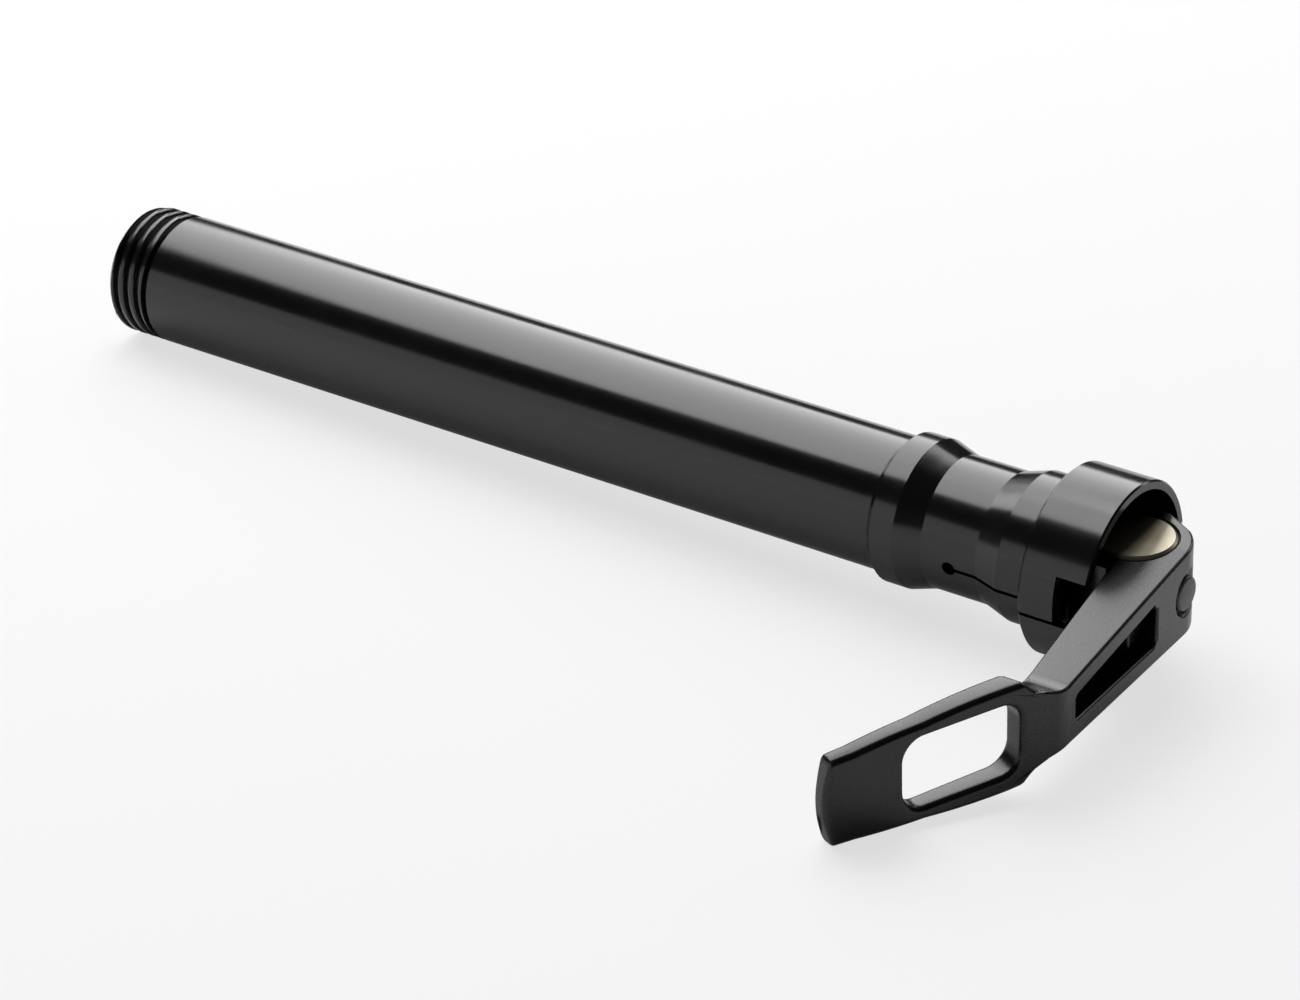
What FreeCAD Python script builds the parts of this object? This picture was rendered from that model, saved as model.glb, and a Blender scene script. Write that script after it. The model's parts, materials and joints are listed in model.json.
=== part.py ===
import FreeCAD
import Part
import math
import os
import Sketcher

# Bicycle thru axle: a hollow 20 mm shank with a thread at one end and, at the other,
# a saw-cut collet and a cup that holds a quick-release cam lever.
# X runs along the shank towards the lever, Z is the lever's pivot axis, and the closed
# lever lies towards -Y. The origin is on the shank's axis, at the collar's shank side.

os.makedirs("parts", exist_ok=True)
doc = FreeCAD.newDocument("thru_axle")
sheet = doc.addObject("Spreadsheet::Sheet", "Sizes")

# Driving dimensions, in millimetres and degrees
DIMENSIONS = {
    # shank
    "shank_radius": 10.0,
    "shank_length": 131.65,
    "bore_radius": 7.9,
    "thread_length": 8.1,
    "thread_pitch": 2.0,
    "thread_depth": 0.85,
    "thread_crest": 0.8,
    "thread_root": 0.45,
    "thread_lead_in": 0.6,
    "relief_length": 1.1,
    "thread_chamfer": 1.0,
    # collet
    "guide_radius": 11.1,
    "collar_length": 4.75,
    "collar_chamfer": 1.1,
    "cone_length": 4.05,
    "neck_radius": 9.85,
    "neck_length": 8.9,
    "flare_length": 4.1,
    "land_length": 5.1,
    "saw_width": 0.55,
    "saw_hole_radius": 1.05,
    "saw_root": 13.4,
    "saw_angle": 8.0,
    # head
    "head_radius": 14.0,
    "head_length": 10.6,
    "head_edge": 0.5,
    "rim_edge": 0.25,
    "cup_wall": 1.3,
    "cup_floor": 1.2,
    "recess_radius": 9.6,
    "recess_depth": 2.7,
    "notch_width": 7.2,
    "notch_depth": 4.8,
    "notch_angle": 6.8,
    # expander
    "web_thickness": 1.8,
    "seat_radius": 6.9,
    "seat_margin": 0.6,
    "seat_clearance": 0.08,
    "wedge_gap": 1.5,
    "wedge_length": 7.0,
    "wedge_web": 3.2,
    "rod_radius": 3.0,
    "rod_clearance": 0.05,
    "rod_reach": 4.2,
    "rod_tail": 1.6,
    "nut_flats": 10.0,
    "nut_height": 5.0,
    "spring_wire": 0.9,
    "spring_turns": 2.5,
    "spring_gap": 0.1,
    "key_flats": 2.5,
    "key_depth": 3.0,
    # cam seat
    "thrust_washer_thickness": 0.8,
    "saddle_gap": 0.4,
    "saddle_rim": 4.2,
    "barrel_radius": 6.0,
    "barrel_half_length": 6.75,
    "barrel_edge": 0.35,
    "pivot_clearance": 0.06,
    # lever
    "cam_radius": 8.45,
    "cam_offset": 0.6,
    "hub_half_height": 6.6,
    "arm_front": 8.45,
    "bend_front": 10.75,
    "bend_distance": 36.8,
    "arm_back": 0.75,
    "bend_back": 5.0,
    "bend_back_distance": 39.5,
    "waist_distance": 35.0,
    "waist_half_height": 4.65,
    "root_distance": 42.6,
    "root_half_height": 8.1,
    "grip_distance": 57.0,
    "grip_half_height": 7.5,
    "crown_distance": 70.2,
    "tip_half_height": 6.3,
    "tip_corner": 1.2,
    "nose_rise": 0.8,
    "nose_distance": 72.0,
    "nose_radius": 18.0,
    "waist_radius": 9.0,
    "grip_crown": 90.0,
    "bend_radius": 5.0,
    "flat_start": 1.6,
    "flat_end": 5.75,
    "tip_distance": 70.95,
    "tip_front": -4.17,
    "tip_back": -6.85,
    "tip_back_distance": 69.9,
    "tip_radius": 1.75,
    "grip_angle": 23.8,
    "hole_length": 18.6,
    "hole_half_height": 5.4,
    "hole_corner": 3.2,
    "hole_lead": 6.4,
    "pocket_start": 9.9,
    "pocket_end": 34.3,
    "pocket_half_height": 3.3,
    "pocket_end_half_height": 1.9,
    "pocket_floor": 1.2,
    "back_angle": 7.2,
    "shelf_length": 4.4,
    "shelf_height": 3.4,
    "shelf_gap": 0.7,
    "slot_half_height": 3.25,
    "open_angle": 115.0,
    # plug in the lever's hub
    "plug_radius": 2.9,
    "plug_shank_radius": 1.9,
    "plug_skirt": 0.6,
    "plug_dome": 1.0,
    "plug_recess": 0.9,
}


class Size:
    """A length or angle: the expression that ties it to the sheet, and its value now."""

    def __init__(self, text, value):
        self.text = text
        self.value = value

    def joined(self, sign, other, value):
        return Size(f"({self.text} {sign} {as_size(other).text})", value)

    def __add__(self, other):
        return self.joined("+", other, self.value + as_size(other).value)

    def __sub__(self, other):
        return self.joined("-", other, self.value - as_size(other).value)

    def __mul__(self, other):
        return self.joined("*", other, self.value * as_size(other).value)

    def __truediv__(self, other):
        return self.joined("/", other, self.value / as_size(other).value)

    def __neg__(self):
        return Size(f"(0 - {self.text})", -self.value)


def as_size(number):
    return number if isinstance(number, Size) else Size(f"{number}", number)


def root_of(size):
    return Size(f"sqrt({size.text})", math.sqrt(size.value))


def cosine(angle):
    return Size(f"cos({angle.text} * 1 deg)", math.cos(math.radians(angle.value)))


def sine(angle):
    return Size(f"sin({angle.text} * 1 deg)", math.sin(math.radians(angle.value)))


def fill_sheet():
    sizes = {}
    for row, (name, number) in enumerate(DIMENSIONS.items(), 1):
        sheet.set(f"A{row}", name)
        sheet.set(f"B{row}", f"{number}")
        sheet.setAlias(f"B{row}", name)
        sizes[name] = Size(f"Sizes.{name}", number)
    doc.recompute()
    return sizes


S = fill_sheet()
ZERO = Size("0", 0.0)

# Stations along the shank's axis, from the thread's end to the cup's mouth
THREAD_START = -S["shank_length"]
THREAD_END = THREAD_START - S["thread_length"]
CONE_START = S["collar_length"]
NECK_START = CONE_START + S["cone_length"]
FLARE_START = NECK_START + S["neck_length"]
LAND_START = FLARE_START + S["flare_length"]
HEAD_START = LAND_START + S["land_length"]
MOUTH = HEAD_START + S["head_length"]
CUP_FLOOR = HEAD_START + S["cup_floor"]
RECESS_FLOOR = CUP_FLOOR - S["recess_depth"]
WEB_BACK = RECESS_FLOOR - S["web_thickness"]
WEDGE_FRONT = WEB_BACK - S["wedge_gap"]
WEDGE_BACK = WEDGE_FRONT - S["wedge_length"]
WEDGE_POCKET = WEDGE_BACK + S["wedge_web"]
SEAT_END = WEDGE_BACK - S["seat_margin"]
NUT_BACK = WEDGE_BACK - S["nut_height"]
SADDLE_BACK = RECESS_FLOOR + S["thrust_washer_thickness"]
PIVOT = MOUTH

# Radii that follow from those of the mating pieces
CUP_RADIUS = S["head_radius"] - S["cup_wall"]
ROD_BORE = S["rod_radius"] + S["rod_clearance"]
SPRING_RADIUS = S["rod_radius"] + S["spring_wire"] * 1.5
SPRING_BORE = SPRING_RADIUS + S["spring_wire"]
WEB_BORE = SPRING_RADIUS
LEVER_BORE = S["barrel_radius"] + S["pivot_clearance"]
SADDLE_SEAT = S["cam_radius"] + S["cam_offset"] + S["saddle_gap"]


def bind(thing, name, size):
    """Give a property its value now and tie it to the sheet."""
    thing.setExpression(name, as_size(size).text)


def new_body(label):
    body = doc.addObject("PartDesign::Body", label)
    body.Label = label
    return body


def origin_item(body, role):
    for item in body.Origin.OriginFeatures:
        if item.Role == role:
            return item
    raise ValueError(role)


def new_sketch(body, name, role, offset=None, turn=None):
    """A sketch on one of the body's own origin planes, moved by offset and turned by turn."""
    sketch = body.newObject("Sketcher::SketchObject", name)
    sketch.AttachmentSupport = [(origin_item(body, role), "")]
    sketch.MapMode = "FlatFace"
    if turn is not None:
        axis, angle = turn
        sketch.AttachmentOffset = FreeCAD.Placement(FreeCAD.Vector(), FreeCAD.Rotation(axis, angle.value))
        sketch.setExpression("AttachmentOffset.Rotation.Angle", f"{angle.text} * 1 deg")
    if offset is not None:
        for direction, size in offset.items():
            sketch.setExpression(f"AttachmentOffset.Base.{direction}", size.text)
    return sketch


def arc_between(start, end, radius):
    """An arc of less than half a turn from start to end, to the left for a positive radius."""
    chord = end - start
    half = chord.Length / 2
    rise = math.sqrt(max(radius * radius - half * half, 0.0))
    side = FreeCAD.Vector(-chord.y, chord.x, 0).normalize()
    sign = 1 if radius > 0 else -1
    centre = start + chord / 2 + side * rise * sign
    middle = centre - side * abs(radius) * sign
    return Part.Arc(start, middle, end)


def draw_outline(sketch, corners):
    """A closed outline. Each corner is (x, y), or (x, y, radius) where an arc leads on to the next."""
    points = [FreeCAD.Vector(as_size(c[0]).value, as_size(c[1]).value, 0) for c in corners]
    first = sketch.GeometryCount
    for index, corner in enumerate(corners):
        start = points[index]
        end = points[(index + 1) % len(points)]
        if len(corner) == 3:
            sketch.addGeometry(arc_between(start, end, as_size(corner[2]).value), False)
        else:
            sketch.addGeometry(Part.LineSegment(start, end), False)
    starts = [start_point(sketch, first + index, point) for index, point in enumerate(points)]
    for index, corner in enumerate(corners):
        line = first + index
        following = (index + 1) % len(corners)
        near_end = 3 - starts[index]
        sketch.addConstraint(
            Sketcher.Constraint("Coincident", line, near_end, first + following, starts[following])
        )
    for index, corner in enumerate(corners):
        line = first + index
        fix_point(sketch, line, starts[index], corner[0], corner[1])
        if len(corner) == 3:
            radius = as_size(corner[2])
            number = sketch.addConstraint(Sketcher.Constraint("Radius", line, abs(radius.value)))
            sketch.setExpression(f"Constraints[{number}]", f"abs({radius.text})")


def start_point(sketch, line, point):
    """Which end of a line or arc lies on the point: 1 for its start, 2 for its end."""
    near = sketch.getPoint(line, 1)
    return 1 if near.distanceToPoint(point) < 1e-6 else 2


def fix_point(sketch, line, end, x, y):
    for kind, size in (("DistanceX", as_size(x)), ("DistanceY", as_size(y))):
        number = sketch.addConstraint(Sketcher.Constraint(kind, -1, 1, line, end, size.value))
        sketch.setExpression(f"Constraints[{number}]", size.text)


def draw_circle(sketch, x, y, radius):
    x, y, radius = as_size(x), as_size(y), as_size(radius)
    centre = FreeCAD.Vector(x.value, y.value, 0)
    circle = sketch.addGeometry(Part.Circle(centre, FreeCAD.Vector(0, 0, 1), radius.value), False)
    fix_point(sketch, circle, 3, x, y)
    number = sketch.addConstraint(Sketcher.Constraint("Radius", circle, radius.value))
    sketch.setExpression(f"Constraints[{number}]", radius.text)


def revolve(body, name, corners):
    """Turn a half section, drawn in X and radius, round the shank's axis."""
    sketch = new_sketch(body, name + "_section", "XZ_Plane")
    draw_outline(sketch, corners)
    turned = body.newObject("PartDesign::Revolution", name)
    turned.Profile = sketch
    turned.ReferenceAxis = (sketch, ["H_Axis"])
    turned.Angle = 360
    doc.recompute()
    return turned


def pad(body, name, sketch, length, midplane=False):
    feature = body.newObject("PartDesign::Pad", name)
    feature.Profile = sketch
    bind(feature, "Length", length)
    feature.Midplane = midplane
    doc.recompute()
    return feature


def cut(body, name, sketch, length=None, midplane=False, reverse=False):
    """Cut a sketch through the body, or to a depth, and check that it took metal away."""
    before = body.Shape.Volume
    feature = body.newObject("PartDesign::Pocket", name)
    feature.Profile = sketch
    feature.Midplane = midplane
    feature.Reversed = reverse
    if length is None:
        feature.Type = "ThroughAll"
    else:
        bind(feature, "Length", length)
    doc.recompute()
    if not feature.Shape.Volume < before - 1e-6:
        raise ValueError(f"{name} cuts nothing")
    return feature


def break_edges(body, name, size, chosen, kind="PartDesign::Chamfer"):
    """Chamfer or fillet the edges of the body's last feature that the chosen test picks."""
    base = body.Tip
    names = [f"Edge{number}" for number, edge in enumerate(base.Shape.Edges, 1) if chosen(edge)]
    if not names:
        raise ValueError(f"{name} finds no edge")
    feature = body.newObject(kind, name)
    feature.Base = (base, names)
    bind(feature, "Radius" if kind.endswith("Fillet") else "Size", size)
    doc.recompute()
    return feature


def axle_body():
    """The shank, collet and cup, turned from one bar, then threaded, sawn and notched."""
    body = new_body("axle_body")
    shank = S["shank_radius"]
    relief = shank - S["thread_depth"]
    revolve(body, "turned_blank", [
        (THREAD_END, S["bore_radius"]),
        (THREAD_END, shank - S["thread_chamfer"]),
        (THREAD_END + S["thread_chamfer"], shank),
        (THREAD_START - S["relief_length"], shank),
        (THREAD_START - S["relief_length"] * 0.75, relief),
        (THREAD_START - S["relief_length"] * 0.25, relief),
        (THREAD_START, shank),
        (ZERO, shank),
        (S["collar_chamfer"], S["guide_radius"]),
        (CONE_START, S["guide_radius"]),
        (NECK_START, S["neck_radius"]),
        (FLARE_START, S["neck_radius"]),
        (LAND_START, S["guide_radius"]),
        (HEAD_START, S["guide_radius"]),
        (HEAD_START, S["head_radius"] - S["head_edge"]),
        (HEAD_START + S["head_edge"], S["head_radius"]),
        (MOUTH - S["rim_edge"], S["head_radius"]),
        (MOUTH, S["head_radius"] - S["rim_edge"]),
        (MOUTH, CUP_RADIUS),
        (CUP_FLOOR, CUP_RADIUS),
        (CUP_FLOOR, S["recess_radius"]),
        (RECESS_FLOOR, S["recess_radius"]),
        (RECESS_FLOOR, WEB_BORE),
        (WEB_BACK, WEB_BORE),
        (WEB_BACK, S["seat_radius"]),
        (SEAT_END, S["bore_radius"]),
    ])
    cut_thread(body)
    saw_collet(body)
    cut_notch(body)
    return body


def cut_thread(body):
    """A coarse right-hand thread, with flat crests, that runs out into the relief groove."""
    shank = S["shank_radius"]
    pitch = S["thread_pitch"]
    flank = (pitch - S["thread_crest"] - S["thread_root"]) / 2
    proud = S["thread_depth"] * 0.4
    spread = flank * proud / S["thread_depth"]
    middle = THREAD_END - S["thread_lead_in"]
    sketch = new_sketch(body, "thread_groove", "XZ_Plane")
    half_root = S["thread_root"] / 2
    draw_outline(sketch, [
        (middle - half_root, shank - S["thread_depth"]),
        (middle - half_root - flank - spread, shank + proud),
        (middle + half_root + flank + spread, shank + proud),
        (middle + half_root, shank - S["thread_depth"]),
    ])
    before = body.Shape.Volume
    thread = body.newObject("PartDesign::SubtractiveHelix", "thread")
    thread.Profile = sketch
    thread.ReferenceAxis = (sketch, ["H_Axis"])
    thread.Mode = "pitch-height-angle"
    bind(thread, "Pitch", pitch)
    bind(thread, "Height", S["thread_length"] - S["relief_length"] / 2 + S["thread_lead_in"])
    doc.recompute()
    if not thread.Shape.Volume < before - 1e-6:
        raise ValueError("the thread cuts nothing")


def saw_collet(body):
    """Two saw cuts, opposite each other, from the neck to the mouth, each stopped by a drilled hole."""
    turn = (FreeCAD.Vector(1, 0, 0), S["saw_angle"])
    root = S["saw_root"]
    half = S["saw_width"] / 2
    kerf = new_sketch(body, "kerf", "XZ_Plane", turn=turn)
    draw_outline(kerf, [
        (root, -half),
        (MOUTH + 1, -half),
        (MOUTH + 1, half),
        (root, half),
    ])
    saw = cut(body, "saw_cut", kerf, length=S["head_radius"] + 1, reverse=True)
    drill = new_sketch(body, "kerf_end", "XZ_Plane", turn=turn)
    draw_circle(drill, root, ZERO, S["saw_hole_radius"])
    hole = cut(body, "kerf_hole", drill, length=S["head_radius"] + 1, reverse=True)
    ring = body.newObject("PartDesign::PolarPattern", "kerf_ring")
    ring.Originals = [saw, hole]
    ring.Axis = (origin_item(body, "X_Axis"), [""])
    ring.Angle = 360
    ring.Occurrences = 2
    body.Tip = ring
    doc.recompute()


def cut_notch(body):
    """The square notch in the cup's wall, beside the first saw cut."""
    turn = (FreeCAD.Vector(1, 0, 0), -S["notch_angle"])
    half = S["notch_width"] / 2
    sketch = new_sketch(body, "notch_outline", "XZ_Plane", turn=turn)
    draw_outline(sketch, [
        (MOUTH - S["notch_depth"], -half),
        (MOUTH + 1, -half),
        (MOUTH + 1, half),
        (MOUTH - S["notch_depth"], half),
    ])
    cut(body, "notch", sketch, length=S["head_radius"] + 1, reverse=True)


def thrust_washer():
    """The flat steel washer on the floor of the cup's recess."""
    body = new_body("thrust_washer")
    rim = S["recess_radius"] - S["rod_clearance"] * 2
    bore = S["rod_radius"] + S["rod_clearance"] * 5
    revolve(body, "washer", [
        (RECESS_FLOOR, bore),
        (RECESS_FLOOR, rim),
        (SADDLE_BACK, rim),
        (SADDLE_BACK, bore),
    ])
    return body


def cam_saddle():
    """The round plastic block whose hollow face carries the lever's cam."""
    body = new_body("cam_saddle")
    rim = S["recess_radius"] - S["rod_clearance"] * 4
    bore = S["rod_radius"] + S["rod_clearance"] * 5
    front = SADDLE_BACK + S["saddle_rim"]
    edge = S["rim_edge"]
    revolve(body, "block", [
        (SADDLE_BACK, bore),
        (SADDLE_BACK, rim),
        (front - edge, rim),
        (front, rim - edge),
        (front, bore),
    ])
    seat = new_sketch(body, "cam_circle", "XY_Plane")
    draw_circle(seat, PIVOT, ZERO, SADDLE_SEAT)
    cut(body, "cam_hollow", seat, length=S["recess_radius"] * 3, midplane=True)
    return body


def draw_rod():
    """The steel rod from the barrel to the expander, with a hexagon socket in its outer end."""
    body = new_body("draw_rod")
    tail = NUT_BACK - S["rod_tail"]
    reach = PIVOT + S["rod_reach"]
    edge = S["rim_edge"]
    revolve(body, "rod", [
        (tail, ZERO),
        (tail, S["rod_radius"] - edge * 2),
        (tail + edge * 2, S["rod_radius"]),
        (reach - edge, S["rod_radius"]),
        (reach, S["rod_radius"] - edge),
        (reach, ZERO),
    ])
    socket = new_sketch(body, "key_outline", "YZ_Plane", offset={"z": reach})
    draw_hexagon(socket, S["key_flats"])
    cut(body, "key_socket", socket, length=S["key_depth"])
    return body


def draw_hexagon(sketch, flats):
    """A hexagon about the shank's axis, with two corners on the sketch's Y."""
    corner = flats / root_of(as_size(3.0))
    half = flats / 2
    draw_outline(sketch, [
        (ZERO, corner),
        (-half, corner / 2),
        (-half, -corner / 2),
        (ZERO, -corner),
        (half, -corner / 2),
        (half, corner / 2),
    ])


def expander_wedge():
    """The cone that the rod pulls into the collet, hollowed in front for the return spring."""
    body = new_body("expander_wedge")
    slope = (S["bore_radius"] - S["seat_radius"]) / (WEB_BACK - SEAT_END)
    front_radius = S["seat_radius"] + slope * S["wedge_gap"] - S["seat_clearance"]
    back_radius = front_radius + slope * (S["wedge_length"] - S["rim_edge"])
    revolve(body, "cone", [
        (WEDGE_BACK, ROD_BORE),
        (WEDGE_BACK, back_radius - S["rim_edge"]),
        (WEDGE_BACK + S["rim_edge"], back_radius),
        (WEDGE_FRONT, front_radius),
        (WEDGE_FRONT, SPRING_BORE),
        (WEDGE_POCKET, SPRING_BORE),
        (WEDGE_POCKET, ROD_BORE),
    ])
    return body


def wedge_nut():
    """The hexagon lock nut behind the expander."""
    body = new_body("wedge_nut")
    outline = new_sketch(body, "nut_outline", "YZ_Plane", offset={"z": NUT_BACK})
    draw_hexagon(outline, S["nut_flats"])
    pad(body, "nut_blank", outline, S["nut_height"])
    bore = new_sketch(body, "nut_bore", "YZ_Plane", offset={"z": WEDGE_BACK})
    draw_circle(bore, ZERO, ZERO, ROD_BORE)
    cut(body, "nut_hole", bore)
    break_edges(body, "nut_corners", S["rim_edge"], is_long_axial, "PartDesign::Fillet")
    return body


def is_long_axial(edge):
    """An edge along X at the nut's corners."""
    ends = [vertex.Point for vertex in edge.Vertexes]
    if len(ends) != 2 or abs(ends[0].y - ends[1].y) > 0.01 or abs(ends[0].z - ends[1].z) > 0.01:
        return False
    return math.hypot(ends[0].y, ends[0].z) > S["nut_flats"].value / 2


def return_spring():
    """The coil spring that pushes the expander back when the lever opens, of square wire."""
    body = new_body("return_spring")
    half = S["spring_wire"] / 2
    back = WEDGE_POCKET + S["spring_gap"] + half
    front = WEB_BACK - S["spring_gap"] - half
    sketch = new_sketch(body, "wire_section", "XZ_Plane")
    draw_outline(sketch, [
        (back - half, SPRING_RADIUS - half),
        (back - half, SPRING_RADIUS + half),
        (back + half, SPRING_RADIUS + half),
        (back + half, SPRING_RADIUS - half),
    ])
    coil = body.newObject("PartDesign::AdditiveHelix", "coil")
    coil.Profile = sketch
    coil.ReferenceAxis = (sketch, ["H_Axis"])
    coil.Mode = "height-turns-angle"
    bind(coil, "Height", front - back)
    bind(coil, "Turns", S["spring_turns"])
    doc.recompute()
    return body


def cam_barrel():
    """The bronze cross pin that the lever turns on and the rod screws into."""
    body = new_body("cam_barrel")
    outline = new_sketch(body, "barrel_outline", "XY_Plane")
    draw_circle(outline, PIVOT, ZERO, S["barrel_radius"])
    pad(body, "barrel_blank", outline, S["barrel_half_length"] * 2, midplane=True)
    cross = new_sketch(body, "rod_hole_outline", "YZ_Plane", offset={"z": PIVOT})
    draw_circle(cross, ZERO, ZERO, ROD_BORE)
    cut(body, "rod_hole", cross, length=S["barrel_radius"] * 3, midplane=True)
    height = S["barrel_half_length"].value
    break_edges(body, "barrel_edges", S["barrel_edge"],
                lambda edge: abs(abs(edge.CenterOfMass.z) - height) < 0.01)
    return body


def lever():
    """The forged lever: hub, tapered arm with a pocket, and a ring-shaped finger grip."""
    body = new_body("lever")
    trace_plan(body)
    trim_heights(body)
    cut_finger_hole(body)
    bore_hub(body)
    cut_arm_pocket(body)
    return body


def trace_plan(body):
    """The lever seen along its pivot: an eccentric hub, then the arm and the bent grip."""
    cam = S["cam_radius"]
    foot = S["arm_back"] + S["cam_offset"]
    foot_y = root_of(cam * cam - foot * foot)
    flat_y = root_of(cam * cam - S["flat_start"] * S["flat_start"])
    sketch = new_sketch(body, "plan", "XY_Plane")
    draw_outline(sketch, [
        (PIVOT + S["arm_front"], ZERO),
        (PIVOT + S["bend_front"], -S["bend_distance"]),
        (PIVOT + S["tip_front"], -S["tip_distance"], -S["tip_radius"]),
        (PIVOT + S["tip_back"], -S["tip_back_distance"]),
        (PIVOT + S["bend_back"], -S["bend_back_distance"]),
        (PIVOT + S["arm_back"], -foot_y, -cam),
        (PIVOT - S["cam_offset"] - cam, ZERO, -cam),
        (PIVOT - S["cam_offset"] + S["flat_start"], flat_y),
        (PIVOT + S["flat_end"], S["flat_end"] * 0.96, -cam),
    ])
    pad(body, "plan_pad", sketch, S["root_half_height"] * 2 + 1, midplane=True)
    bends = (S["bend_distance"].value, S["bend_back_distance"].value)
    break_edges(body, "bends", S["bend_radius"],
                lambda edge: is_upright_at(edge, bends), "PartDesign::Fillet")


def is_upright_at(edge, distances):
    """An edge along Z at one of these distances from the pivot."""
    box = edge.BoundBox
    upright = box.ZLength > 1 and box.XLength < 0.01 and box.YLength < 0.01
    return upright and any(abs(box.YMin + distance) < 0.01 for distance in distances)


def trim_heights(body):
    """The lever seen along the shank: hub, tapering arm, waist, wide grip and rounded tip."""
    high = S["root_half_height"] * 2
    right = S["cam_radius"] * 2
    nose_half = root_of(S["nose_rise"] * (S["nose_radius"] * 2 - S["nose_rise"]))
    sketch = new_sketch(body, "side", "YZ_Plane")
    draw_outline(sketch, [
        (right, S["hub_half_height"]),
        (ZERO, S["hub_half_height"]),
        (-S["waist_distance"], S["waist_half_height"], -S["waist_radius"]),
        (-S["root_distance"], S["root_half_height"], S["grip_crown"]),
        (-S["grip_distance"], S["grip_half_height"], S["grip_crown"]),
        (-S["crown_distance"], S["tip_half_height"], S["tip_corner"]),
        (-S["nose_distance"] + S["nose_rise"], nose_half, S["nose_radius"]),
        (-S["nose_distance"], ZERO),
        (-S["nose_distance"] - 5, ZERO),
        (-S["nose_distance"] - 5, high),
        (right, high),
    ])
    trim = cut(body, "height_trim", sketch, length=S["nose_distance"] * 3, midplane=True)
    mirror = body.newObject("PartDesign::Mirrored", "lower_trim")
    mirror.Originals = [trim]
    mirror.MirrorPlane = (origin_item(body, "XY_Plane"), [""])
    body.Tip = mirror
    doc.recompute()


def cut_finger_hole(body):
    """The long round-cornered hole through the grip, square to its face."""
    turn = (FreeCAD.Vector(0, 1, 0), -S["grip_angle"])
    sketch = new_sketch(body, "hole_outline", "YZ_Plane", offset={"z": PIVOT}, turn=turn)
    near = S["hole_lead"] - S["root_distance"]
    far = near - S["hole_length"]
    half = S["hole_half_height"]
    corner = S["hole_corner"]
    draw_outline(sketch, [
        (near - corner, half),
        (far + corner, half, corner),
        (far, half - corner),
        (far, corner - half, corner),
        (far + corner, -half),
        (near - corner, -half, corner),
        (near, corner - half),
        (near, half - corner, corner),
    ])
    cut(body, "finger_hole", sketch, length=S["nose_distance"] * 4, midplane=True)


def bore_hub(body):
    """The barrel's bore, the slot that the rod passes through, and the plug's seat."""
    bore = new_sketch(body, "barrel_bore_outline", "XY_Plane")
    draw_circle(bore, PIVOT, ZERO, LEVER_BORE)
    cut(body, "barrel_bore", bore, length=S["root_half_height"] * 4, midplane=True)
    reach = S["cam_radius"] * 1.5
    half = S["slot_half_height"]
    last = -S["open_angle"]
    side_x = PIVOT + half * cosine(last + 90)
    slot = new_sketch(body, "rod_slot_outline", "XY_Plane")
    draw_outline(slot, [
        (PIVOT - reach, -half),
        (PIVOT, -half, -half),
        (side_x, half * sine(last + 90)),
        (side_x - reach * cosine(last), half * sine(last + 90) - reach * sine(last)),
        (PIVOT - reach, reach),
    ])
    cut(body, "rod_slot", slot, length=half * 2, midplane=True)
    seat_floor = PIVOT + S["arm_front"] - S["plug_recess"]
    seat = new_sketch(body, "plug_seat_outline", "YZ_Plane", offset={"z": seat_floor})
    draw_outline(seat, [
        (reach, -half),
        (reach, half),
        (ZERO, half, half * 1.0001),
        (ZERO, -half),
    ])
    cut(body, "plug_seat", seat, length=S["cam_radius"], reverse=True)
    hole = new_sketch(body, "plug_hole_outline", "YZ_Plane", offset={"z": PIVOT})
    draw_circle(hole, ZERO, ZERO, S["plug_shank_radius"] + S["rod_clearance"])
    cut(body, "plug_hole", hole, length=S["cam_radius"] * 2, reverse=True)


def cut_arm_pocket(body):
    """The tapering pocket in the arm's front, with a low block left standing at its hub end."""
    turn = (FreeCAD.Vector(0, 1, 0), S["back_angle"])
    floor = PIVOT + S["arm_back"] + S["pocket_floor"]
    near = S["pocket_half_height"]
    far = S["pocket_end_half_height"]
    sketch = new_sketch(body, "pocket_outline", "YZ_Plane", offset={"z": floor}, turn=turn)
    draw_outline(sketch, [
        (-S["pocket_start"], near * 0.7),
        (-S["pocket_start"], -near * 0.7),
        (-S["pocket_start"] - near * 0.3, -near),
        (-S["pocket_end"] + far * 0.3, -far),
        (-S["pocket_end"], -far * 0.7),
        (-S["pocket_end"], far * 0.7),
        (-S["pocket_end"] + far * 0.3, far),
        (-S["pocket_start"] - near * 0.3, near),
    ])
    cut(body, "arm_pocket", sketch, length=S["bend_front"] * 2, reverse=True)
    shelf = new_sketch(body, "shelf_outline", "YZ_Plane", offset={"z": floor}, turn=turn)
    low = near - S["shelf_gap"]
    draw_outline(shelf, [
        (-S["pocket_start"] + 1, -low),
        (-S["pocket_start"] + 1, low),
        (-S["pocket_start"] - S["shelf_length"], low),
        (-S["pocket_start"] - S["shelf_length"], -low),
    ])
    pad(body, "pocket_shelf", shelf, S["shelf_height"])


def hub_plug():
    """The domed plug in the lever's hub, over the rod's key socket."""
    body = new_body("hub_plug")
    seat = PIVOT + S["arm_front"] - S["plug_recess"]
    inner = PIVOT + LEVER_BORE + S["rod_clearance"] * 4
    rise = S["plug_dome"]
    skirt = seat + S["plug_skirt"]
    dome_radius = (S["plug_radius"] * S["plug_radius"] + rise * rise) / (rise * 2)
    revolve(body, "dome", [
        (inner, ZERO),
        (inner, S["plug_shank_radius"]),
        (seat, S["plug_shank_radius"]),
        (seat, S["plug_radius"]),
        (skirt, S["plug_radius"], -dome_radius),
        (skirt + rise, ZERO),
    ])
    return body


MAKERS = (
    axle_body,
    thrust_washer,
    cam_saddle,
    return_spring,
    expander_wedge,
    wedge_nut,
    draw_rod,
    cam_barrel,
    lever,
    hub_plug,
)


def check_document():
    for item in doc.Objects:
        if "Invalid" in item.State or "Error" in item.State:
            raise ValueError(f"{item.Label} failed")


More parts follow.
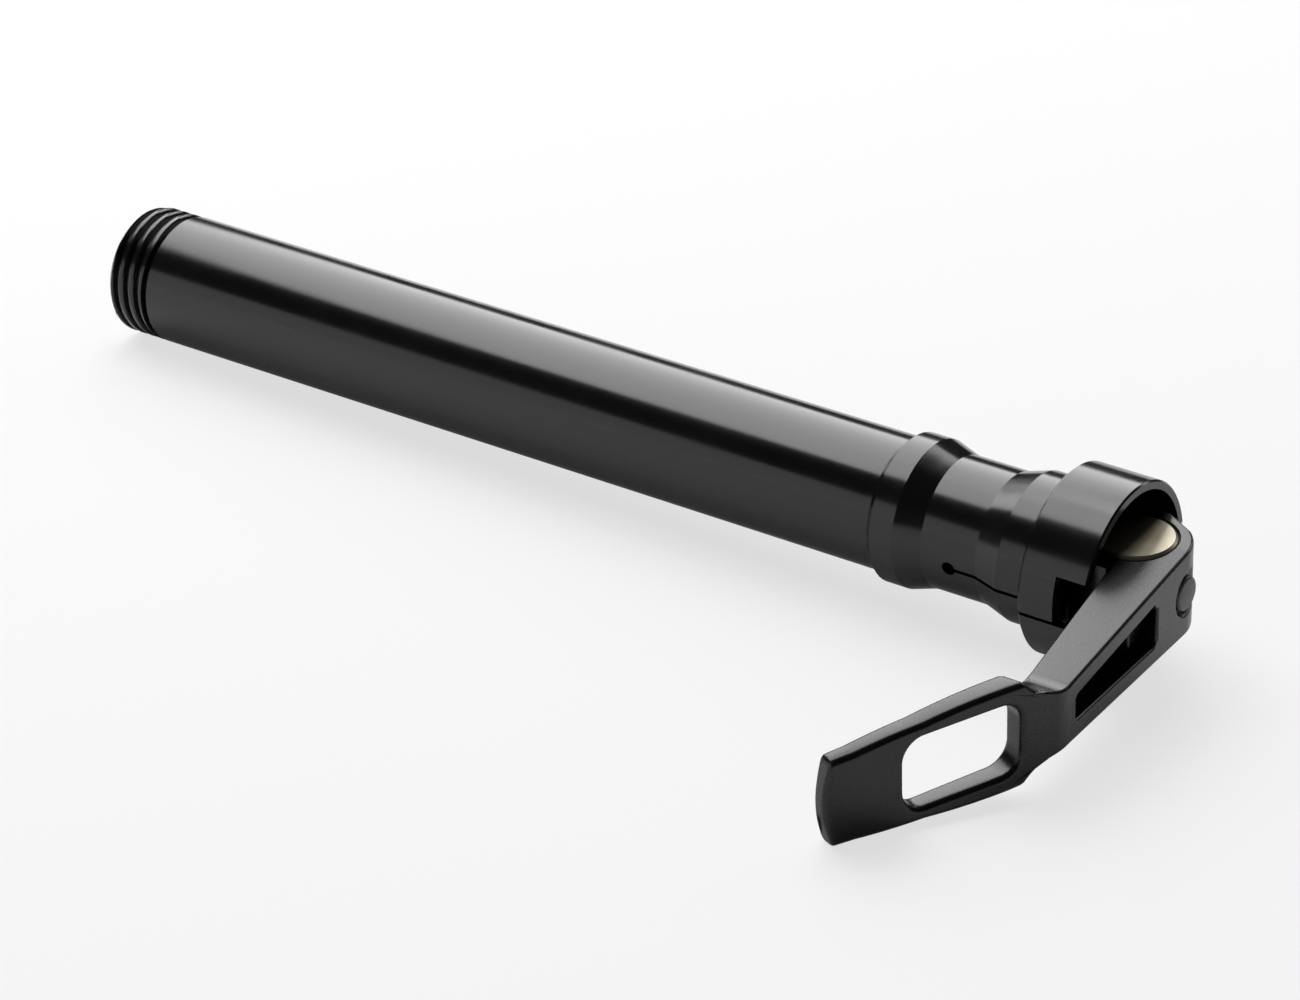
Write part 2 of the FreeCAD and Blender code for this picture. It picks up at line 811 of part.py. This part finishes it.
def write_part(body):
    if body.Shape.isNull() or not body.Shape.isValid():
        raise ValueError(f"{body.Label} has no valid shape")
    body.Shape.exportStep(f"parts/{body.Label}.step")
    print(body.Label, len(body.Shape.Solids), round(body.Shape.Volume, 2))


bodies = [make() for make in MAKERS]
doc.recompute()
check_document()
for body in bodies:
    write_part(body)
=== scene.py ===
import json
import math

import bmesh
import bpy
from mathutils import Matrix, Vector


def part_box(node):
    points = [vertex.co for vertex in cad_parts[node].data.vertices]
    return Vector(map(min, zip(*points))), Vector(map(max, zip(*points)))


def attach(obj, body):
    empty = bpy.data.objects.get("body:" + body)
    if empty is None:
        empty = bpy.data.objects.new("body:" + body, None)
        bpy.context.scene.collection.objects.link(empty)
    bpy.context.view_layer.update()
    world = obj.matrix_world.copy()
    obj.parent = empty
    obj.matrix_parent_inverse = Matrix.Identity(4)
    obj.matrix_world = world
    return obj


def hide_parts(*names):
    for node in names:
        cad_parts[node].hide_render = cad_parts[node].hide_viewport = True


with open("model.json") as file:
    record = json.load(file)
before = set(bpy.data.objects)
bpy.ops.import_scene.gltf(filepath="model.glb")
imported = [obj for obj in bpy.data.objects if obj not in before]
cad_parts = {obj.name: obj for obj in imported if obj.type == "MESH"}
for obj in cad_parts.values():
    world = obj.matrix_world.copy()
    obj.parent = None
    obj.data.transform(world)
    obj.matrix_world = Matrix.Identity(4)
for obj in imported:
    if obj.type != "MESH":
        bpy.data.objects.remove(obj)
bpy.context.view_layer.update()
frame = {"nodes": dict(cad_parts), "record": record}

# Lengths named in capitals are in millimetres, apart from those already given in metres:
# the pivot, the camera's place, the floor, and the distance within which two points are one.
MM = 0.001
SAME_PLACE = 0.001 * MM

# The lever's pivot, the way its grip faces and runs, and where the grip starts and ends along it
JOINTS = {joint["name"]: joint for joint in frame["record"]["behaviour"]["joints"]}
PIVOT = Vector((JOINTS["lever_pivot"]["pos_m"][0], 0, 0))
GRIP_OUTWARD = Vector((0.915, -0.404, 0)).normalized()
GRIP_AHEAD = Vector((GRIP_OUTWARD.y, -GRIP_OUTWARD.x, 0))
GRIP_START = 32.0
GRIP_END = 66.4

# How far facets may turn and still be one face, where an outer edge is rounded, where an inner
# corner stays sharp, and the radii
FLAT_WITHIN = math.radians(0.3)
EDGE_FROM = math.radians(24)
CREASE_FROM = math.radians(32)
EDGE_RADIUS = 0.45
GRIP_EDGE_RADIUS = 0.9
EDGE_SEGMENTS = 4

# The grip's full tip: where it grows from, how far it reaches, how its end rounds off, and how far
# its middle bulges. Edges of the cut longer than TIP_SIDE are its sides, cut up so that they can bend.
TIP_CUT = 62.5
TIP_LENGTH = 4.8
TIP_RADIUS = 1.3
TIP_TAPER = 0.12
TIP_THINNING = 0.8
TIP_BULGE = 1.1
TIP_SIDE = 3.0
TIP_SIDE_CUTS = 11
TIP_TAPER_STEPS = 4
TIP_ROUND_STEPS = 5
TIP_ROUND_TURN = math.radians(15)

# The thread's start along X and the rounding of its crests
THREAD_START = -132.95
CREST_ROUNDING = 0.2

# The plug's head, set into the lever's hub
PLUG_RADIUS = 2.6
PLUG_SINK = 0.45
PLUG_HEAD = 1.15
PLUG_CROWN = 0.12
PLUG_EDGE = 0.5
PLUG_SHOULDER = 0.6
PLUG_EDGE_STEPS = 6
PLUG_SIDES = 72

# The film of oil between the washer and the saddle
OIL_FILM = 0.02

# From this angle on, an edge between two faces is drawn sharp
SHARP_FROM = math.radians(12)
PLUG_SHARP_FROM = math.radians(40)


# Camera, floor and light

# The camera's place is in metres, and its angles are those of the photo.
CAMERA_PLACE = Vector((0.32773, -0.51851, 0.3561))
CAMERA_AZIMUTH = math.radians(35.67)
CAMERA_ELEVATION = math.radians(30.03)
CAMERA_ROLL = math.radians(-1.8)
CAMERA_LENS = 137.93

# The floor touches the cup's rim, the thread's end and the tip of the closed lever.
FLOOR_HEIGHT = -13.43 * MM
FLOOR_SLOPE_X = -0.0241
FLOOR_SLOPE_Y = -0.109
FLOOR_REACH = 6.0

# How much of the pale floor glows white by itself, to the eye and in mirrors
SEEN_WHITER = 0.7
MIRRORED_WHITER = 0.08

# The glow of the studio's far walls
STUDIO_DIMNESS = 0.03
WHITE = (1, 1, 1, 1)

# Noise mostly lies between these values.
NOISE_LOW = 0.3
NOISE_HIGH = 0.7


def make_camera():
    data = bpy.data.cameras.new("photo_camera")
    data.lens = CAMERA_LENS
    data.sensor_width = 36
    camera = bpy.data.objects.new("photo_camera", data)
    bpy.context.scene.collection.objects.link(camera)
    azimuth, elevation, roll = CAMERA_AZIMUTH, CAMERA_ELEVATION, CAMERA_ROLL
    back = Vector((math.sin(azimuth) * math.cos(elevation), -math.cos(azimuth) * math.cos(elevation),
                   math.sin(elevation)))
    level_right = Vector((0, 0, 1)).cross(back).normalized()
    level_up = back.cross(level_right)
    right = level_right * math.cos(roll) + level_up * math.sin(roll)
    up = level_up * math.cos(roll) - level_right * math.sin(roll)
    turn = Matrix((right, up, back)).transposed().to_4x4()
    camera.matrix_world = Matrix.Translation(CAMERA_PLACE) @ turn
    bpy.context.scene.camera = camera


def make_soft_box(name, place, aim, size, radiance):
    """A soft box whose face glows at the given radiance. The camera doesn't see it."""
    data = bpy.data.lights.new(name, "AREA")
    data.shape = "RECTANGLE"
    data.size, data.size_y = size
    data.energy = radiance * math.pi * size[0] * size[1]
    light = bpy.data.objects.new(name, data)
    bpy.context.scene.collection.objects.link(light)
    light.location = place
    light.visible_camera = False
    light.rotation_mode = "QUATERNION"
    light.rotation_quaternion = (Vector(place) - Vector(aim)).to_track_quat("Z", "Y")


def make_floor(material):
    shape = bmesh.new()
    bmesh.ops.create_grid(shape, x_segments=1, y_segments=1, size=FLOOR_REACH)
    for corner in shape.verts:
        corner.co.z = FLOOR_HEIGHT + FLOOR_SLOPE_X * corner.co.x + FLOOR_SLOPE_Y * corner.co.y
    mesh = bpy.data.meshes.new("floor")
    shape.to_mesh(mesh)
    shape.free()
    floor = bpy.data.objects.new("floor", mesh)
    bpy.context.scene.collection.objects.link(floor)
    mesh.materials.append(material)


def make_world():
    """A dim even studio, white where the camera looks past the floor."""
    world = bpy.data.worlds.new("studio")
    world.use_nodes = True
    tree = world.node_tree
    tree.nodes.clear()
    path = add_node(tree, "LightPath")
    dim = add_node(tree, "Background", {"Color": WHITE, "Strength": STUDIO_DIMNESS})
    white = add_node(tree, "Background", {"Color": WHITE, "Strength": 1.0})
    mixed = add_node(tree, "MixShader", {0: path.outputs["Is Camera Ray"], 1: dim, 2: white})
    add_node(tree, "OutputWorld", {"Surface": mixed})
    bpy.context.scene.world = world


# Materials

def linear(hex_colour):
    """An sRGB hex colour as the linear one that the shader takes."""
    values = [int(hex_colour[i:i + 2], 16) / 255 for i in (1, 3, 5)]
    return tuple(v / 12.92 if v <= 0.04045 else ((v + 0.055) / 1.055) ** 2.4 for v in values) + (1,)


def add_node(tree, kind, inputs=None, **settings):
    """Adds a node, sets its properties, and sets or links its inputs. A node given as an input
    is linked from its first output."""
    node = tree.nodes.new("ShaderNode" + kind)
    for name, value in settings.items():
        setattr(node, name, value)
    for name, value in (inputs or {}).items():
        socket = node.inputs[name]
        if isinstance(value, bpy.types.Node):
            tree.links.new(value.outputs[0], socket)
        elif isinstance(value, bpy.types.NodeSocket):
            tree.links.new(value, socket)
        else:
            socket.default_value = value
    return node


def new_material(name):
    material = bpy.data.materials.new(name)
    material.use_nodes = True
    material.node_tree.nodes.clear()
    return material, material.node_tree


def per_mm(size_mm):
    """The noise scale that gives grains of about this size."""
    return 1 / (size_mm * MM)


def anodised_aluminium(name, hex_dark, hex_light, roughness, lines_mm, grain_mm, ior):
    """Black anodised aluminium. Its skin is clear hard oxide dyed black through, so the eye gets
    a deep black under glass-like mirroring, not the shine of bare metal."""
    material, tree = new_material(name)
    place = add_node(tree, "TexCoord").outputs["Object"]
    # Lathe lines run round the shank, so the pattern is fine along X and long across it. On the
    # forged lever the same pattern, wider spaced, stands for the faint drag of the die.
    round_shank = add_node(tree, "Mapping", {"Vector": place, "Scale": (1, 0.02, 0.02)})
    lines = add_node(tree, "TexNoise", {"Vector": round_shank, "Scale": per_mm(lines_mm), "Detail": 2.0})
    # The etched grain is really finer than 0.05 mm, and is drawn coarser so that it shows.
    grain = add_node(tree, "TexNoise", {"Vector": place, "Scale": per_mm(grain_mm), "Detail": 3.0})
    # The dye takes a little unevenly over patches of about 14 mm.
    cloud = add_node(tree, "TexNoise", {"Vector": place, "Scale": per_mm(14.0), "Detail": 2.0})
    # Rubbing on the hub leaves a few hairline marks along the shank, drawn 0.25 mm wide to show.
    along_shank = add_node(tree, "Mapping", {"Vector": place, "Scale": (0.05, 1, 1)})
    hairs = add_node(tree, "TexNoise", {"Vector": along_shank, "Scale": per_mm(0.25), "Detail": 1.0})
    marks = add_node(tree, "MapRange", {"Value": hairs, "From Min": 0.70, "From Max": 0.76, "To Max": 0.35})
    patches = add_node(tree, "MapRange", {"Value": cloud, "From Min": NOISE_LOW, "From Max": NOISE_HIGH,
                                          "To Min": 0.25, "To Max": 0.75})
    worn = add_node(tree, "Math", {0: patches, 1: marks}, operation="ADD")
    colour = add_node(tree, "Mix", {"Factor": worn, 6: linear(hex_dark), 7: linear(hex_light)},
                      data_type="RGBA").outputs[2]
    fine = add_node(tree, "MapRange", {"Value": grain, "From Min": NOISE_LOW, "From Max": NOISE_HIGH,
                                       "To Min": roughness - 0.04, "To Max": roughness + 0.04})
    broad = add_node(tree, "MapRange", {"Value": cloud, "From Min": NOISE_LOW, "From Max": NOISE_HIGH,
                                        "To Min": -0.02, "To Max": 0.02})
    gloss = add_node(tree, "Math", {0: fine, 1: broad}, operation="ADD")
    height = add_node(tree, "Math", {0: lines, 1: grain}, operation="ADD")
    bump = add_node(tree, "Bump", {"Height": height, "Strength": 0.25, "Distance": 0.002 * MM})
    skin = add_node(tree, "BsdfPrincipled", {"Base Color": colour, "Roughness": gloss, "Metallic": 0.0,
                                             "IOR": ior, "Normal": bump})
    add_node(tree, "OutputMaterial", {"Surface": skin})
    return material


def bright_metal(name, hex_dark, hex_light, roughness, stretch):
    """Bare or plated metal, turned, ground or drawn. Its tool marks run in fine lines that blur
    what it mirrors, and its colour drifts a little over patches of about 5 mm."""
    material, tree = new_material(name)
    place = add_node(tree, "TexCoord").outputs["Object"]
    along_marks = add_node(tree, "Mapping", {"Vector": place, "Scale": stretch})
    # Real tool marks are near 0.03 mm apart, and are drawn at 0.12 mm so that they show.
    lines = add_node(tree, "TexNoise", {"Vector": along_marks, "Scale": per_mm(0.12), "Detail": 3.0})
    cloud = add_node(tree, "TexNoise", {"Vector": place, "Scale": per_mm(5.0), "Detail": 2.0})
    colour = add_node(tree, "Mix", {"Factor": cloud, 6: linear(hex_dark), 7: linear(hex_light)},
                      data_type="RGBA").outputs[2]
    gloss = add_node(tree, "MapRange", {"Value": lines, "From Min": NOISE_LOW, "From Max": NOISE_HIGH,
                                        "To Min": roughness - 0.08, "To Max": roughness + 0.08})
    bump = add_node(tree, "Bump", {"Height": lines, "Strength": 0.3, "Distance": 0.004 * MM})
    metal = add_node(tree, "BsdfPrincipled", {"Base Color": colour, "Roughness": gloss, "Metallic": 1.0,
                                              "Normal": bump})
    add_node(tree, "OutputMaterial", {"Surface": metal})
    return material


def moulded_plastic(name, hex_dark, hex_light, roughness):
    """Moulded nylon or acetal: an even colour through and through, with highlights softened by
    the faint texture of a spark-eroded mould."""
    material, tree = new_material(name)
    place = add_node(tree, "TexCoord").outputs["Object"]
    # The mould's pits are about 0.06 mm wide, and are drawn at 0.18 mm so that they show.
    grain = add_node(tree, "TexNoise", {"Vector": place, "Scale": per_mm(0.18), "Detail": 3.0})
    # The melt's flow leaves slightly lighter patches of about 6 mm.
    cloud = add_node(tree, "TexNoise", {"Vector": place, "Scale": per_mm(6.0), "Detail": 2.0})
    colour = add_node(tree, "Mix", {"Factor": cloud, 6: linear(hex_dark), 7: linear(hex_light)},
                      data_type="RGBA").outputs[2]
    gloss = add_node(tree, "MapRange", {"Value": grain, "From Min": NOISE_LOW, "From Max": NOISE_HIGH,
                                        "To Min": roughness - 0.06, "To Max": roughness + 0.06})
    bump = add_node(tree, "Bump", {"Height": grain, "Strength": 0.3, "Distance": 0.01 * MM})
    plastic = add_node(tree, "BsdfPrincipled", {"Base Color": colour, "Roughness": gloss, "Metallic": 0.0,
                                                "Normal": bump})
    add_node(tree, "OutputMaterial", {"Surface": plastic})
    return material


def seamless_paper():
    """Matte pale studio paper, whiter to the eye and in mirrors than the lamps make it."""
    material, tree = new_material("seamless_paper")
    path = add_node(tree, "LightPath")
    paper = add_node(tree, "BsdfDiffuse", {"Color": linear("#E2E2E2")})
    white = add_node(tree, "Emission", {"Color": WHITE, "Strength": 1.0})
    mirrored = add_node(tree, "Math", {0: path.outputs["Is Glossy Ray"],
                                       1: path.outputs["Is Transmission Ray"]}, operation="MAXIMUM")
    seen = add_node(tree, "Math", {0: path.outputs["Is Camera Ray"], 1: SEEN_WHITER}, operation="MULTIPLY")
    share = add_node(tree, "Math", {0: mirrored, 1: MIRRORED_WHITER, 2: seen}, operation="MULTIPLY_ADD")
    mixed = add_node(tree, "MixShader", {0: share, 1: paper, 2: white})
    add_node(tree, "OutputMaterial", {"Surface": mixed})
    return material


# Pieces

def merged_copy(node):
    """A node's solid with its facets joined."""
    shape = bmesh.new()
    shape.from_mesh(frame["nodes"][node].data)
    bmesh.ops.remove_doubles(shape, verts=shape.verts, dist=SAME_PLACE)
    bmesh.ops.recalc_face_normals(shape, faces=shape.faces)
    return shape


def add_piece(shape, node, body, material, sharp_from=None):
    """The finished shape as a piece in place of the node."""
    mesh = bpy.data.meshes.new(node + "_finish")
    shape.to_mesh(mesh)
    shape.free()
    # The facets' own normals, brought along from the solid, would keep a bevelled piece faceted.
    for layer in [layer for layer in mesh.attributes if layer.name == "custom_normal"]:
        mesh.attributes.remove(layer)
    mesh.shade_smooth()
    if sharp_from:
        mesh.set_sharp_from_angle(angle=sharp_from)
    piece = bpy.data.objects.new(node + "_finish", mesh)
    bpy.context.scene.collection.objects.link(piece)
    mesh.materials.append(material)
    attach(piece, body)
    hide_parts(node)
    return piece


def finished_as_made(node, body, material):
    """A piece whose solid already has its real shape."""
    return add_piece(merged_copy(node), node, body, material, SHARP_FROM)


def turned_body(material):
    """The axle's body, with the crests of its thread rounded off."""
    shape = merged_copy("axle_body")
    crests = [edge for edge in shape.edges if max(vert.co.x for vert in edge.verts) < THREAD_START * MM
              and edge.is_convex and edge.calc_face_angle(0) > EDGE_FROM]
    bmesh.ops.bevel(shape, geom=crests, offset=CREST_ROUNDING * MM, offset_type="OFFSET", affect="EDGES",
                    segments=2, profile=0.5, clamp_overlap=False, material=-1)
    return add_piece(shape, "axle_body", "axle", material, SHARP_FROM)


def faced_washer(material):
    """The washer, its face an oil film below the saddle that turns on it."""
    shape = merged_copy("thrust_washer")
    face = max(vert.co.x for vert in shape.verts)
    for vert in shape.verts:
        if face - vert.co.x < OIL_FILM * MM:
            vert.co.x = face - OIL_FILM * MM
    return add_piece(shape, "thrust_washer", "axle", material, SHARP_FROM)


def button_plug(material):
    """The plug in the lever's hub: a flat button with a rounded rim on a short shank."""
    low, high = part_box("hub_plug")
    radius = PLUG_RADIUS * MM
    edge = PLUG_EDGE * MM
    top = high[0] - PLUG_SINK * MM
    rim = top - PLUG_CROWN * MM
    shank = radius - PLUG_SHOULDER * MM
    seat = top - PLUG_HEAD * MM
    outline = [(low[0], 0), (low[0], shank), (seat, shank), (seat, radius), (rim - edge, radius)]
    for step in range(1, PLUG_EDGE_STEPS + 1):
        turn = math.radians(90) * step / PLUG_EDGE_STEPS
        outline.append((rim - edge + edge * math.sin(turn), radius - edge + edge * math.cos(turn)))
    outline.append((top, 0))
    shape = bmesh.new()
    verts = [shape.verts.new((x, 0, r)) for x, r in outline]
    edges = [shape.edges.new(pair) for pair in zip(verts, verts[1:])]
    bmesh.ops.spin(shape, geom=verts + edges, cent=(0, 0, 0), axis=(1, 0, 0), angle=math.tau,
                   steps=PLUG_SIDES, use_merge=True)
    bmesh.ops.remove_doubles(shape, verts=shape.verts, dist=SAME_PLACE)
    bmesh.ops.recalc_face_normals(shape, faces=shape.faces)
    return add_piece(shape, "hub_plug", "lever", material, PLUG_SHARP_FROM)


def weigh_edges(shape):
    """Marks the lever's outer edges for rounding, more so on its grip, and keeps its creases sharp."""
    weight = shape.edges.layers.float.new("bevel_weight_edge")
    for edge in shape.edges:
        turn = edge.calc_face_angle(0)
        if edge.is_convex and turn > EDGE_FROM:
            middle = (edge.verts[0].co + edge.verts[1].co) / 2
            on_grip = GRIP_START * MM < (middle - PIVOT).dot(GRIP_AHEAD) < GRIP_END * MM
            edge[weight] = 1.0 if on_grip else EDGE_RADIUS / GRIP_EDGE_RADIUS
        elif turn > CREASE_FROM:
            edge.smooth = False


def edges_rounded(shape):
    """The shape with its weighted edges rounded, as a new shape."""
    sharp = bpy.data.meshes.new("sharp")
    shape.to_mesh(sharp)
    shape.free()
    holder = bpy.data.objects.new("sharp", sharp)
    bpy.context.scene.collection.objects.link(holder)
    rounding = holder.modifiers.new("forged_edges", "BEVEL")
    rounding.limit_method = "WEIGHT"
    rounding.width = GRIP_EDGE_RADIUS * MM
    rounding.segments = EDGE_SEGMENTS
    rounding.use_clamp_overlap = False
    finished = holder.evaluated_get(bpy.context.evaluated_depsgraph_get())
    round_mesh = bpy.data.meshes.new_from_object(finished)
    bpy.data.objects.remove(holder)
    bpy.data.meshes.remove(sharp)
    rounded = bmesh.new()
    rounded.from_mesh(round_mesh)
    bpy.data.meshes.remove(round_mesh)
    return rounded


def tip_steps():
    """How far ahead each ring of the tip lies, and how far it is drawn in: a slow taper, then
    a round end."""
    shoulder = TIP_LENGTH - TIP_RADIUS
    for step in range(1, TIP_TAPER_STEPS + 1):
        part = step / TIP_TAPER_STEPS
        yield shoulder * part, TIP_TAPER * part
    for step in range(1, TIP_ROUND_STEPS + 1):
        turn = TIP_ROUND_TURN * step
        yield shoulder + TIP_RADIUS * math.sin(turn), TIP_TAPER + TIP_RADIUS * (1 - math.cos(turn))


def grow_tip(shape):
    """Cuts the grip square near its end and grows a full, rounded tip from the cut."""
    bmesh.ops.bisect_plane(shape, geom=shape.verts[:] + shape.edges[:] + shape.faces[:], dist=SAME_PLACE,
                           plane_co=PIVOT + GRIP_AHEAD * TIP_CUT * MM, plane_no=GRIP_AHEAD, clear_outer=True)
    sides = [edge for edge in shape.edges if edge.is_boundary and edge.calc_length() > TIP_SIDE * MM]
    bmesh.ops.subdivide_edges(shape, edges=sides, cuts=TIP_SIDE_CUTS)
    loop = [edge for edge in shape.edges if edge.is_boundary]
    ring = {vert for edge in loop for vert in edge.verts}
    depths = [(vert.co - PIVOT).dot(GRIP_OUTWARD) for vert in ring]
    centre = (min(depths) + max(depths)) / 2
    half_depth = (max(depths) - min(depths)) / 2
    half_height = max(vert.co.z for vert in ring)
    deep, high, reached = 1.0, 1.0, 0.0
    for ahead, inset in tip_steps():
        grown = bmesh.ops.extrude_edge_only(shape, edges=loop)["geom"]
        loop = [item for item in grown if isinstance(item, bmesh.types.BMEdge)]
        ring = [item for item in grown if isinstance(item, bmesh.types.BMVert)]
        new_deep = 1 - inset * MM / half_depth * TIP_THINNING
        new_high = 1 - inset * MM / half_height
        held_back = TIP_BULGE * ((ahead / TIP_LENGTH) ** 2 - (reached / TIP_LENGTH) ** 2)
        for vert in ring:
            depth = (vert.co - PIVOT).dot(GRIP_OUTWARD) - centre
            level = vert.co.z / (half_height * high)
            forward = ahead - reached - held_back * level * level
            vert.co += GRIP_OUTWARD * depth * (new_deep / deep - 1) + GRIP_AHEAD * forward * MM
            vert.co.z *= new_high / high
        deep, high, reached = new_deep, new_high, ahead
    bmesh.ops.contextual_create(shape, geom=loop)
    bmesh.ops.recalc_face_normals(shape, faces=shape.faces)


def forged_lever(material):
    """The lever, its edges rounded as a forging's are: most on the grip and its tip."""
    shape = merged_copy("lever")
    bmesh.ops.dissolve_limit(shape, angle_limit=FLAT_WITHIN, verts=shape.verts, edges=shape.edges)
    weigh_edges(shape)
    shape = edges_rounded(shape)
    grow_tip(shape)
    piece = add_piece(shape, "lever", "lever", material)
    even = piece.modifiers.new("flat_faces_stay_flat", "WEIGHTED_NORMAL")
    even.keep_sharp = True
    return piece


# The body is turned, then anodised to a satin gloss. The forged lever is blasted first, so it is rougher.
turned_black = anodised_aluminium("black_anodised_turned_aluminium", "#060607", "#0E0E0F", roughness=0.17,
                                  lines_mm=0.18, grain_mm=0.12, ior=1.56)
blasted_black = anodised_aluminium("black_anodised_blasted_aluminium", "#060607", "#0E0E0F", roughness=0.26,
                                   lines_mm=0.6, grain_mm=0.15, ior=1.50)
# A turned bronze pin mirrors in bands across its length, and its warm pale colour fills the mirror.
bronze = bright_metal("turned_pale_bronze", "#8C8574", "#A9A18F", 0.38, (1, 1, 0.05))
# Ground steel is a neutral grey with a soft broad shine.
ground_steel = bright_metal("ground_steel", "#A9AAA8", "#C6C7C4", 0.32, (1, 0.1, 0.1))
# Drawn wire is darker, and its marks run along the wire.
wire_steel = bright_metal("drawn_spring_wire", "#8F8F8C", "#AFAFAB", 0.35, (0.2, 1, 1))
# Clear anodising leaves turned aluminium pale and slightly milky.
clear_aluminium = bright_metal("clear_anodised_aluminium", "#B4B5B6", "#CFD0D1", 0.35, (1, 0.05, 0.05))
# Zinc plate is the brightest, with a faint yellow cast.
zinc_plate = bright_metal("zinc_plate", "#B9BAB3", "#D8D9D2", 0.25, (1, 1, 1))
# Acetal is black and nearly matte. The plug's nylon is dark grey with a satin shine.
saddle_plastic = moulded_plastic("moulded_black_acetal", "#1C1C1D", "#242425", 0.48)
plug_plastic = moulded_plastic("satin_grey_nylon", "#4A4B4C", "#565758", 0.34)

turned_body(turned_black)
forged_lever(blasted_black)
finished_as_made("cam_barrel", "cam_unit", bronze)
button_plug(plug_plastic)
finished_as_made("cam_saddle", "cam_unit", saddle_plastic)
finished_as_made("draw_rod", "cam_unit", ground_steel)
faced_washer(ground_steel)
finished_as_made("return_spring", "axle", wire_steel)
finished_as_made("expander_wedge", "cam_unit", clear_aluminium)
finished_as_made("wedge_nut", "cam_unit", zinc_plate)

make_camera()
make_world()
make_floor(seamless_paper())
make_soft_box("overhead_soft_box", place=(-0.645, 0.352, 0.792), aim=(-0.645, -0.069, 0.0),
              size=(0.61, 1.83), radiance=4.5)
make_soft_box("left_soft_box", place=(-1.42, 0.45, 0.792), aim=(-1.42, 0.03, 0.0),
              size=(0.65, 1.1), radiance=4.5)
make_soft_box("head_soft_box", place=(-0.175, 0.55, 0.762), aim=(-0.175, 0.55, 0.0),
              size=(0.29, 0.90), radiance=3.7)
make_soft_box("back_soft_box", place=(0.22, 0.85, 0.33), aim=(0.10, 0.0, 0.0),
              size=(0.4, 0.3), radiance=2.5)
make_soft_box("front_card", place=(-0.45, -0.70, 0.22), aim=(-0.30, 0.0, 0.05),
              size=(0.9, 0.34), radiance=0.8)
bpy.context.scene.view_settings.view_transform = "Standard"
